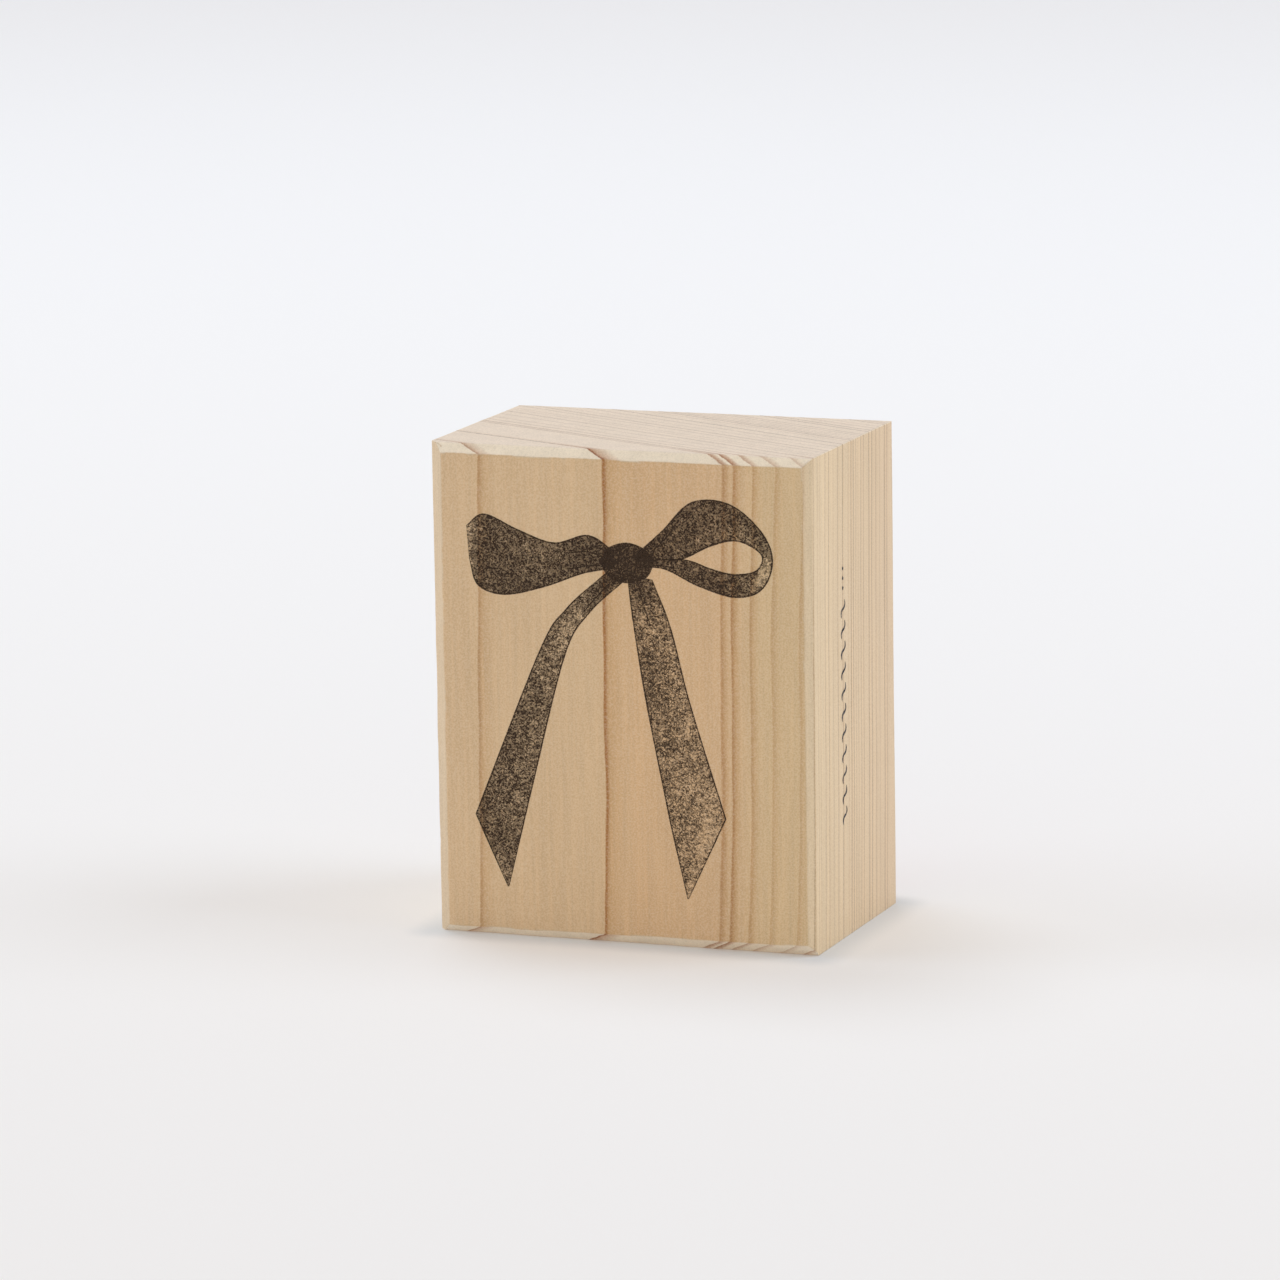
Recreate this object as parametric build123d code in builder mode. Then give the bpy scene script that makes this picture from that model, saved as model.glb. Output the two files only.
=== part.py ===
from build123d import *
import os

# A wood-mounted rubber stamp, standing on its small end as it is stored.
# +Z is up and along the grain, the printed index face looks along -Y and the rubber die along +Y.
# The origin is the bottom centre of the whole stamp. All sizes are in millimetres.

os.makedirs("parts", exist_ok=True)

# Wooden block
block_width = 40.5  # along X
block_depth = 25.0  # along Y, from the index face to the cushion
block_height = 50.0  # along Z

# Sanded bevels round the index face. Each is a little uneven: its width is given at both ends.
left_bevel = (1.3, 1.5)  # at the bottom, at the top
right_bevel = (0.7, 0.8)  # at the bottom, at the top
bottom_bevel = (0.7, 1.2)  # at the left, at the right
top_bevel = (1.0, 0.85)  # at the left, at the right
bevel_slope = 0.95  # how far a bevel runs back for each millimetre across the face

# The sandwich behind the block
mount_film_thickness = 0.1  # double-sided film, block to cushion
cushion_thickness = 3.0  # closed-cell foam
die_film_thickness = 0.1  # double-sided film, cushion to die
die_floor_thickness = 1.2  # the rubber sheet under the relief
relief_height = 0.9  # the raised artwork that takes the ink
cushion_inset = 2.5  # from the block's edge to the cushion's edge
cushion_corner = 1.6  # corner radius of the trimmed cushion
film_inset = 0.15  # from the cushion's edge to either film's edge
die_inset = 0.4  # from the cushion's edge to the die's edge
die_corner = 1.2  # corner radius of the trimmed die

# Artwork: a ribbon bow that fills the die's face apart from these margins
art_side_margin = 0.9
art_end_margin = 1.6
ink_thickness = 0.03  # the printed film on the wood

# Side mark: a twisted cord of slanted strokes, with three dots above it
mark_from_front = 9.5  # from the index face to the row's middle
mark_from_base = 12.5  # from the base to the lowest stroke's middle
stroke_count = 11
stroke_pitch = 2.1
stroke_length = 2.0
stroke_width = 0.3
stroke_tilt = 62.0  # degrees from the horizontal
dot_count = 3
dot_pitch = 1.0
dot_radius = 0.22

# Places that follow from the sizes
total_depth = (
    ink_thickness
    + block_depth
    + mount_film_thickness
    + cushion_thickness
    + die_film_thickness
    + die_floor_thickness
    + relief_height
)
block_front = ink_thickness - total_depth / 2
block_back = block_front + block_depth
cushion_front = block_back + mount_film_thickness
cushion_back = cushion_front + cushion_thickness
die_front = cushion_back + die_film_thickness
relief_root = die_front + die_floor_thickness
block_right = block_width / 2
middle_height = block_height / 2

cushion_width = block_width - 2 * cushion_inset
cushion_height = block_height - 2 * cushion_inset
die_width = cushion_width - 2 * die_inset
die_height = cushion_height - 2 * die_inset
art_half_width = die_width / 2 - art_side_margin
art_half_height = die_height / 2 - art_end_margin

# The bow's outlines, as shares of the artwork's half width and half height
open_loop_edge = [
    (0.12, 0.72), (0.29, 0.84), (0.48, 0.985), (0.72, 0.985), (0.92, 0.86), (0.99, 0.72),
    (0.92, 0.58), (0.75, 0.535), (0.52, 0.58), (0.30, 0.655), (0.12, 0.655),
]
open_loop_eye = [
    (0.42, 0.71), (0.60, 0.78), (0.77, 0.81), (0.92, 0.75), (0.89, 0.67), (0.75, 0.645), (0.60, 0.665),
]
closed_loop_edge = [
    (-0.02, 0.73), (-0.19, 0.80), (-0.41, 0.755), (-0.64, 0.81), (-0.86, 0.88), (-0.98, 0.82),
    (-0.965, 0.66), (-0.91, 0.53), (-0.74, 0.49), (-0.49, 0.535), (-0.22, 0.615), (-0.02, 0.645),
]
tails = [
    {
        "inner": [(0.06, 0.60), (-0.19, 0.42), (-0.36, 0.19), (-0.61, -0.54)],
        "outer": [(-0.07, 0.625), (-0.34, 0.43), (-0.52, 0.21), (-0.955, -0.615)],
        "tip": (-0.75, -0.975),
    },
    {
        "inner": [(0.06, 0.62), (0.10, 0.36), (0.17, 0.0), (0.31, -0.58)],
        "outer": [(0.22, 0.60), (0.335, 0.36), (0.45, 0.0), (0.67, -0.56)],
        "tip": (0.42, -0.975),
    },
]
knot_centre = (0.06, 0.675)
knot_half_width = 0.17
knot_half_height = 0.10


def facing_back(y):
    """A plane at y whose normal is +Y. Its local x is -X, so drawings made on it are mirrored."""
    return Plane(origin=(0, y, middle_height), x_dir=(-1, 0, 0), z_dir=(0, 1, 0))


def facing_front(y):
    """A plane at y whose normal is -Y. Its local x is +X and its local y is +Z."""
    return Plane(origin=(0, y, middle_height), x_dir=(1, 0, 0), z_dir=(0, -1, 0))


def cut_away(start, end, foot):
    """Takes off the corner outside the plane through three points, away from the block's middle."""
    normal = (Vector(end) - Vector(start)).cross(Vector(foot) - Vector(start))
    outward = Vector(start) - Vector(0, block_front + block_depth / 2, middle_height)
    if normal.dot(outward) < 0:
        normal = -normal
    split(bisect_by=Plane(origin=start, z_dir=normal), keep=Keep.BOTTOM)


def on_art(side, points):
    """Artwork points from shares of the art's half width and half height. side is 1, or -1 for mirrored."""
    return [(side * across * art_half_width, up * art_half_height) for across, up in points]


def bow_drawing(plane, side):
    """The bow on a plane: an open loop, a closed loop, two pointed tails and the knot over them."""
    with BuildSketch(plane) as bow:
        with BuildLine():
            open_loop = Spline(*on_art(side, open_loop_edge))
            Line(open_loop @ 1, open_loop @ 0)
        make_face()
        with BuildLine():
            Spline(*on_art(side, open_loop_eye), periodic=True)
        make_face(mode=Mode.SUBTRACT)
        with BuildLine():
            closed_loop = Spline(*on_art(side, closed_loop_edge))
            Line(closed_loop @ 1, closed_loop @ 0)
        make_face()
        for tail in tails:
            with BuildLine():
                inner = Spline(*on_art(side, tail["inner"]))
                outer = Spline(*on_art(side, tail["outer"]))
                Line(inner @ 0, outer @ 0)
                Polyline(inner @ 1, *on_art(side, [tail["tip"]]), outer @ 1)
            make_face()
        with Locations(*on_art(side, [knot_centre])):
            Ellipse(knot_half_width * art_half_width, knot_half_height * art_half_height)
    return bow.sketch


with BuildPart() as wood_block:
    with Locations((0, block_front + block_depth / 2, middle_height)):
        Box(block_width, block_depth, block_height)
    for side, (low, high) in ((-1, left_bevel), (1, right_bevel)):
        cut_away(
            (side * (block_right - low), block_front, 0),
            (side * (block_right - high), block_front, block_height),
            (side * block_right, block_front + low * bevel_slope, 0),
        )
    for edge, inward, (at_left, at_right) in ((0, 1, bottom_bevel), (block_height, -1, top_bevel)):
        cut_away(
            (-block_right, block_front, edge + inward * at_left),
            (block_right, block_front, edge + inward * at_right),
            (-block_right, block_front + at_left * bevel_slope, edge),
        )
wood_block.part.label = "wood_block"

with BuildPart() as index_print:
    extrude(bow_drawing(facing_front(block_front), 1), amount=ink_thickness)
index_print.part.label = "index_print"

with BuildPart() as side_mark:
    mark_plane = Plane(
        origin=(block_right, block_front + mark_from_front, mark_from_base),
        x_dir=(0, 1, 0),
        z_dir=(1, 0, 0),
    )
    first_dot = stroke_count * stroke_pitch
    with BuildSketch(mark_plane):
        with Locations(*[(0, n * stroke_pitch) for n in range(stroke_count)]):
            SlotOverall(stroke_length, stroke_width, rotation=stroke_tilt)
        with Locations(*[(0, first_dot + n * dot_pitch) for n in range(dot_count)]):
            Circle(dot_radius)
    extrude(amount=ink_thickness)
side_mark.part.label = "side_mark"

with BuildPart() as mount_adhesive:
    with BuildSketch(facing_back(block_back)):
        RectangleRounded(cushion_width - 2 * film_inset, cushion_height - 2 * film_inset, cushion_corner)
    extrude(amount=mount_film_thickness)
mount_adhesive.part.label = "mount_adhesive"

with BuildPart() as cushion:
    with BuildSketch(facing_back(cushion_front)):
        RectangleRounded(cushion_width, cushion_height, cushion_corner)
    extrude(amount=cushion_thickness)
cushion.part.label = "cushion"

with BuildPart() as die_adhesive:
    with BuildSketch(facing_back(cushion_back)):
        RectangleRounded(die_width, die_height, die_corner)
    extrude(amount=die_film_thickness)
die_adhesive.part.label = "die_adhesive"

with BuildPart() as rubber_die:
    with BuildSketch(facing_back(die_front)):
        RectangleRounded(die_width, die_height, die_corner)
    extrude(amount=die_floor_thickness)
    extrude(bow_drawing(facing_back(relief_root), -1), amount=relief_height)
rubber_die.part.label = "rubber_die"

for piece in (wood_block, index_print, side_mark, mount_adhesive, cushion, die_adhesive, rubber_die):
    export_step(piece.part, f"parts/{piece.part.label}.step")
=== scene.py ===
import math
import random

import bpy
import numpy as np
from mathutils import Matrix, Vector, noise
from mathutils.bvhtree import BVHTree


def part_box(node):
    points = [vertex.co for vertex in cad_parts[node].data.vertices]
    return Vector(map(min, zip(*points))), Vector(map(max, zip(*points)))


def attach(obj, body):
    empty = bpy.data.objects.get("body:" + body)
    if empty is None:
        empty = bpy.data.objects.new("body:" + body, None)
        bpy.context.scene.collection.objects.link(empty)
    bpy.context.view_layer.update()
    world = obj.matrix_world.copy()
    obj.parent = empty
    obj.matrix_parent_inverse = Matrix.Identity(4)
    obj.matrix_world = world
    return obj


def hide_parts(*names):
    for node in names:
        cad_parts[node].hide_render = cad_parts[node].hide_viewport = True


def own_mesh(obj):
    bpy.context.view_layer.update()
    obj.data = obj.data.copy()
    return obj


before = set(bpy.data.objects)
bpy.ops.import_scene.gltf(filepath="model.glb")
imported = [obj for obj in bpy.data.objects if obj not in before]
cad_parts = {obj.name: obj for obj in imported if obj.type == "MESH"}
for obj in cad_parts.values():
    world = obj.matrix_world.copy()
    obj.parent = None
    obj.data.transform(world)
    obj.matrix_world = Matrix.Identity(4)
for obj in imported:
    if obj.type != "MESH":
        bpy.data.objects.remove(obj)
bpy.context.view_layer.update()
scene = bpy.context.scene
mm = 0.001
inMillimetres = (1000, 1000, 1000)  # scales object coordinates, which are metres, for patterns
print("frame loaded:", ", ".join(sorted(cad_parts)))


def linearColour(hexText):
    values = [int(hexText[n:n + 2], 16) / 255 for n in (1, 3, 5)]
    return [v / 12.92 if v <= 0.04045 else ((v + 0.055) / 1.055) ** 2.4 for v in values] + [1.0]


# inputs may be numbers, colours, sockets or whole nodes; stops fill a colour ramp
def addNode(tree, kind, inputs=None, stops=None, **settings):
    node = tree.nodes.new("ShaderNode" + kind)
    for name, value in settings.items():
        setattr(node, name, value)
    for key, value in (inputs or {}).items():
        if isinstance(value, bpy.types.Node):
            value = value.outputs[0]
        if isinstance(value, bpy.types.NodeSocket):
            tree.links.new(value, node.inputs[key])
        else:
            node.inputs[key].default_value = value
    if stops:
        ramp = node.color_ramp
        ramp.elements[0].position, ramp.elements[0].color = stops[0]
        ramp.elements[1].position, ramp.elements[1].color = stops[-1]
        for place, colour in stops[1:-1]:
            ramp.elements.new(place).color = colour
    return node


def newMaterial(name):
    material = bpy.data.materials.new(name)
    material.use_nodes = True
    material.node_tree.nodes.clear()
    return material, material.node_tree


def newPiece(name, points, faces, material, marks=None):
    mesh = bpy.data.meshes.new(name)
    mesh.from_pydata([tuple(p) for p in points], [], faces)
    for mark, values in (marks or {}).items():
        attribute = mesh.attributes.new(mark, "FLOAT", "POINT")
        attribute.data.foreach_set("value", np.asarray(values, np.float32))
    mesh.polygons.foreach_set("use_smooth", [True] * len(mesh.polygons))
    mesh.materials.append(material)
    mesh.update()
    piece = bpy.data.objects.new(name, mesh)
    scene.collection.objects.link(piece)
    return piece


# camera, floor and light
shot = {
    "lens": 184.84,  # mm on a 36 mm sensor
    "azimuth": 21.03,
    "elevation": 10.9,
    "roll": -0.95,
    "distance": 0.651,
    "target": (0.00224, -0.015135, 0.03115),
}
azimuth, elevation, roll = (math.radians(shot[k]) for k in ("azimuth", "elevation", "roll"))
back = Vector((
    math.sin(azimuth) * math.cos(elevation), -math.cos(azimuth) * math.cos(elevation), math.sin(elevation)
))
level = Vector((math.cos(azimuth), math.sin(azimuth), 0))
upright = back.cross(level)
across = level * math.cos(roll) + upright * math.sin(roll)
upward = upright * math.cos(roll) - level * math.sin(roll)
camera = bpy.data.objects.new("camera", bpy.data.cameras.new("camera"))
camera.data.lens = shot["lens"]
camera.data.sensor_width = 36
camera.data.clip_start = 0.02
scene.collection.objects.link(camera)
camera.matrix_world = Matrix((across, upward, back)).transposed().to_4x4()
camera.location = Vector(shot["target"]) + back * shot["distance"]
scene.camera = camera
scene.view_settings.view_transform = "Standard"

studio = {
    "floorPaint": "#c3ced8",  # the share of the floor's light that shadows can take away
    "paintedGlowNear": (0.355, 0.275, 0.21, 1.0),  # painted glow, an emission that stands in for light, in front of the stamp
    "paintedGlowFar": (0.405, 0.352, 0.32, 1.0),  # and behind it
    "paintedGlowPlaces": (-0.25, 0.7),  # metres along y between which it changes
    "paintedContactShadowDepth": 0.4,  # how much of the painted glow is taken away right beside the stamp, a painted contact shadow
    "paintedContactShadowReach": 0.004,  # metres
    "floorRings": [(0.25, 0), (0.8, 0), (1.6, 0), (1.9, 0.05), (2.1, 0.2), (2.2, 0.5), (2.2, 0.9)],
    "skyColour": (0.97, 0.985, 1.0, 1.0),
    "skyStrength": 0.34,
    "lamps": {
        # place in metres, diameter in metres, watts, colour
        "rightBox": ((0.95, 0.25, 0.95), 0.9, 6.3, "#ffffff"),
        "leftBox": ((-1.0, -0.25, 0.55), 0.8, 3.0, "#ffffff"),
        "topBox": ((-0.45, 0.45, 1.35), 0.7, 6.4, "#ffffff"),
    },
}


def floorMaterial():
    # pale table that glows though it is no lamp: painted light, warmer and dimmer in front than behind, over
    # a cool paint so shadows come out warm; it dims beside the stamp as a painted contact shadow
    material, tree = newMaterial("white table with painted glow and contact shadow")
    paint = addNode(tree, "BsdfDiffuse", {"Color": linearColour(studio["floorPaint"])})
    here = addNode(tree, "TexCoord").outputs["Object"]
    depth = addNode(tree, "SeparateXYZ", {0: here}).outputs["Y"]
    # painted light: the glow's colour and strength change from front to back
    low, high = studio["paintedGlowPlaces"]
    share = addNode(tree, "MapRange", {
        "Value": depth, "From Min": low, "From Max": high,
    }, interpolation_type="SMOOTHSTEP")
    tint = addNode(tree, "Mix", {0: share, 6: studio["paintedGlowNear"], 7: studio["paintedGlowFar"]}, data_type="RGBA")
    # painted contact shadow: the glow dims under the block and a few millimetres round it
    low, high = (Vector((v[0], v[1], 0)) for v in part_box("wood_block"))
    offset = addNode(tree, "VectorMath", {0: here, 1: (low + high) / 2}, operation="SUBTRACT")
    offset = addNode(tree, "VectorMath", {0: offset}, operation="ABSOLUTE")
    offset = addNode(tree, "VectorMath", {0: offset, 1: (high - low) / 2}, operation="SUBTRACT")
    offset = addNode(tree, "VectorMath", {0: offset, 1: (0, 0, 0)}, operation="MAXIMUM")
    distance = addNode(tree, "VectorMath", {0: offset}, operation="LENGTH").outputs["Value"]
    left = addNode(tree, "MapRange", {
        "Value": distance, "From Max": studio["paintedContactShadowReach"],
        "To Min": 1 - studio["paintedContactShadowDepth"], "To Max": 1.0,
    }, interpolation_type="SMOOTHSTEP")
    # the glow is painted light, emitted by a floor that is no lamp
    paintedGlow = addNode(tree, "Emission", {"Color": tint.outputs[2], "Strength": left})
    both = addNode(tree, "AddShader", {0: paint, 1: paintedGlow})
    addNode(tree, "OutputMaterial", {"Surface": both})
    return material


def makeStudio():
    steps = 96
    points, faces = [(0, 0, 0)], []
    for radius, height in studio["floorRings"]:
        start = len(points)
        for n in range(steps):
            turn = 2 * math.pi * n / steps
            points.append((radius * math.cos(turn), radius * math.sin(turn), height))
        for n in range(steps):
            m = (n + 1) % steps
            if start == 1:
                faces.append((0, 1 + n, 1 + m))
            else:
                faces.append((start - steps + n, start + n, start + m, start - steps + m))
    newPiece("studioFloor", points, faces, floorMaterial())
    for name, (place, size, power, colour) in studio["lamps"].items():
        lamp = bpy.data.lights.new(name, "AREA")
        lamp.shape = "DISK"
        lamp.size = size
        lamp.energy = power
        lamp.color = linearColour(colour)[:3]
        holder = bpy.data.objects.new(name, lamp)
        scene.collection.objects.link(holder)
        holder.location = place
        holder.rotation_euler = (Vector((0, 0, 0.02)) - holder.location).to_track_quat("-Z", "Y").to_euler()
        holder.visible_camera = False
    world = bpy.data.worlds.new("studio air")
    world.use_nodes = True
    world.node_tree.nodes["Background"].inputs["Color"].default_value = studio["skyColour"]
    world.node_tree.nodes["Background"].inputs["Strength"].default_value = studio["skyStrength"]
    scene.world = world


makeStudio()
print("camera, floor and lamps placed")

# wooden block
block = {
    "leftBevel": (1.3, 1.5),  # mm across the index face, at the bottom and at the top
    "rightBevel": (0.7, 0.8),
    "bottomBevel": (0.7, 1.2),  # at the left and at the right
    "topBevel": (1.0, 0.85),
    "bevelSlope": 0.95,
    "bevelWander": 0.07,  # mm, how far the sanding strays
    "edgeZone": 2.4,  # mm of fine mesh along each edge
    "edgeStep": 0.16,
    "middleStep": 0.55,
    "latewoodRise": 0.02,  # mm that the hard latewood stands above the soft wood after sanding
    "handRise": 0.03,  # mm of slow waviness
}

# The wide rings: place in mm along the growth direction, how dark the line is,
# how orange the wood after it is, and over how many mm that fades.
wideRings = [
    (-6.5, 0.45, 0.6, 0.8),
    (-0.5, 1.0, 0.9, 1.0),
    (5.0, 0.4, 0.7, 0.4),
    (5.5, 0.5, 0.8, 0.4),
]
thinRings = {
    "reach": (6.4, 30.5),  # mm along the growth direction that they fill
    "gap": (0.5, 1.5),
    "dark": (0.15, 0.45),
    "strongShare": 0.25,  # the share of them that come out much darker
    "strongDark": (0.6, 1.0),
    "orange": (0.2, 0.5),
    "fade": (0.25, 0.5),
    "seed": 11,
}


def growRings():
    picker = random.Random(thinRings["seed"])
    rings = list(wideRings)
    place, last = thinRings["reach"]
    while place < last:
        strong = picker.random() < thinRings["strongShare"]
        dark = picker.uniform(*thinRings["strongDark" if strong and place > 12 else "dark"])
        rings.append((place, dark, picker.uniform(*thinRings["orange"]), picker.uniform(*thinRings["fade"])))
        place += picker.uniform(*thinRings["gap"])
    return rings


growthRings = growRings()
growth = {
    "direction": (0.447, 0.894),  # along x and back from the index face
    "curve": (0.07, 0.0075, 0.15),  # how much the rings curve, how fast that falls off, and the most
    "lean": 0.009,  # mm across for each mm up
    "moreLean": 0.01,  # added beyond the place below, over so many mm
    "leanFrom": 9,
    "leanOver": 3,
}
ringLine = 0.12  # mm, the dark line's own width
ringOnset = 0.05  # mm, over which it starts
ringsPerRamp = 3  # a ramp holds at most 32 stops, and few rings in each keep them sharp

woodLow, woodHigh = (Vector(v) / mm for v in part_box("wood_block"))


def ringPlace(x, y, z):
    # mm along the growth direction; x from the middle, y back from the index face, z up
    acrossX, backY = growth["direction"]
    along = acrossX * x + backY * y
    sideways = backY * x - acrossX * y
    curve, falloff, most = growth["curve"]
    turn = np.clip(curve - falloff * along, 0, most)  # the rings near the left corner curve more
    more = np.clip((along - growth["leanFrom"]) / growth["leanOver"], 0, 1)
    lean = growth["lean"] + growth["moreLean"] * more  # the grain leans a little off upright
    return along - turn * (sideways - 2 * along) - lean * (z - woodHigh.z)


def latticeSteps(length):
    zone, fine, coarse = block["edgeZone"], block["edgeStep"], block["middleStep"]
    edge = np.arange(0, zone, fine)
    middle = np.linspace(zone, length - zone, max(2, round((length - 2 * zone) / coarse)))
    return np.concatenate([edge, middle, length - edge[::-1]])


def makeWoodBlock(material):
    size = woodHigh - woodLow
    steps = [latticeSteps(length) for length in size]
    numbered, points, faces = {}, [], []

    def corner(place):
        if place not in numbered:
            numbered[place] = len(points)
            points.append([steps[a][place[a]] + woodLow[a] for a in range(3)])
        return numbered[place]

    for a in range(3):
        b, c = (a + 1) % 3, (a + 2) % 3
        for end in (0, len(steps[a]) - 1):
            for p in range(len(steps[b]) - 1):
                for q in range(len(steps[c]) - 1):
                    loop = []
                    for dp, dq in ((0, 0), (1, 0), (1, 1), (0, 1)):
                        place = [0, 0, 0]
                        place[a], place[b], place[c] = end, p + dp, q + dq
                        loop.append(corner(tuple(place)))
                    faces.append(loop if end else loop[::-1])
    points = np.array(points)
    front = points[:, 1] < woodLow.y + 1e-6
    wander = np.array([noise.noise(Vector(p) / 3.1) + 0.6 * noise.noise(Vector(p) / 0.9) for p in points])

    # the sanded bevels, each a plane through three points, as in the CAD
    right, top, slope = woodHigh.x, woodHigh.z, block["bevelSlope"]
    cuts = []
    for side, (low, high) in ((-1, block["leftBevel"]), (1, block["rightBevel"])):
        cuts.append((
            (side * (right - low), woodLow.y, 0),
            (side * (right - high), woodLow.y, top),
            (side * right, woodLow.y + low * slope, 0),
        ))
    for edge, inward, (low, high) in ((0, 1, block["bottomBevel"]), (top, -1, block["topBevel"])):
        cuts.append((
            (-right, woodLow.y, edge + inward * low),
            (right, woodLow.y, edge + inward * high),
            (-right, woodLow.y + low * slope, edge),
        ))
    middle = (woodLow + woodHigh) / 2
    bevelled = np.zeros(len(points))
    for _ in range(5):
        for start, end, foot in cuts:
            normal = (Vector(end) - Vector(start)).cross(Vector(foot) - Vector(start)).normalized()
            if normal.dot(Vector(start) - middle) < 0:
                normal = -normal
            outside = (points - np.array(start)) @ np.array(normal) + block["bevelWander"] * wander
            points -= np.outer(np.clip(outside, 0, None), np.array(normal))
            bevelled = np.maximum(bevelled, outside > 0)

    # rings, and the relief that sanding leaves over them
    x, y, z = points[:, 0], points[:, 1] - woodLow.y, points[:, 2]
    sway = np.array([
        0.16 * noise.noise(Vector((p[0] / 30, p[1] / 30, p[2] / 24)))
        + 0.035 * noise.noise(Vector((p[0] / 9, p[1] / 9, p[2] / 7 + 5)))
        for p in points
    ])
    place = ringPlace(x, y, z) + sway
    hard = np.zeros(len(points))
    for ring, dark, _, _ in growthRings:
        past = place - ring
        fall = np.exp(-np.clip(past, 0, None) / 0.22)
        hard = np.maximum(hard, dark * fall * np.clip(1 + past / 0.15, 0, 1))
    slow = np.array([noise.noise(Vector((p[0] / 11, p[1] / 11, p[2] / 17))) for p in points])
    rise = block["latewoodRise"] * hard + block["handRise"] * (slow - 0.4)
    piece = newPiece("woodBlock", points * mm, faces, material, {
        "ringPlace": place, "indexFace": front & (bevelled < 0.5),
    })
    normals = np.zeros(len(points) * 3, np.float32)
    piece.data.vertex_normals.foreach_get("vector", normals)
    points += normals.reshape(-1, 3) * rise[:, None]
    points[:, 2] = np.maximum(points[:, 2], 0)
    piece.data.vertices.foreach_set("co", (points * mm).astype(np.float32).ravel())
    piece.data.update()
    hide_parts("wood_block")
    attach(piece, "mount")
    return piece


wood = {
    "indexTones": [
        # place in mm along the growth direction, colour of the index face there, printed side
        (-9, "#e8c79c"), (-1, "#e9c89c"), (1, "#e8c192"), (5, "#e7c295"), (7, "#e7c89a"), (9, "#e8ca9c"),
    ],
    "rawTones": [
        # the same for every other face
        (-9, "#e5cdac"), (10, "#e9d2ae"), (31, "#e3caaa"),
    ],
    "indexWarm": "#e8dac4",  # multiplies the index face where a wide ring is orange
    "topBevel": "#f9ead2",  # the sanded slopes at the ends, furred with pale fibre ends
    "endGrain": "#ebdac8",  # cut across the fibres, more pink and more matt
    "latewoodWarm": "#efdfc8",  # multiplies the wood where a wide ring is orange
    "latewoodLine": "#cfa878",
    "thinRingWarm": "#f1e7dd",
    "thinRingLine": "#9f8474",
    "endRingWarm": "#efe8e3",
    "endRingLine": "#958780",
    "burntRing": "#c0916f",  # where sanding the bevel has darkened a ring's end
    "burntReach": (0.7, 3.4),  # mm back from the index face between which that fades
    "speckle": 0.11,  # mm, the sanded fibre ends' size
    "speckHollowShade": 0.92,  # how dark the random dark specks get, a painted shade of the hollows between fibre ends
    "paleSpecks": 0.22,  # how far the raised ends go towards the pale colour
    "paleFibre": "#fdf0dc",
    "fibreWidth": 0.16,  # mm, bundles of fibres, wide enough to show
    "fibreLength": 5.0,
    "endPore": 0.13,  # mm, groups of cell ends
    "roughness": 0.62,
}


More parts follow.
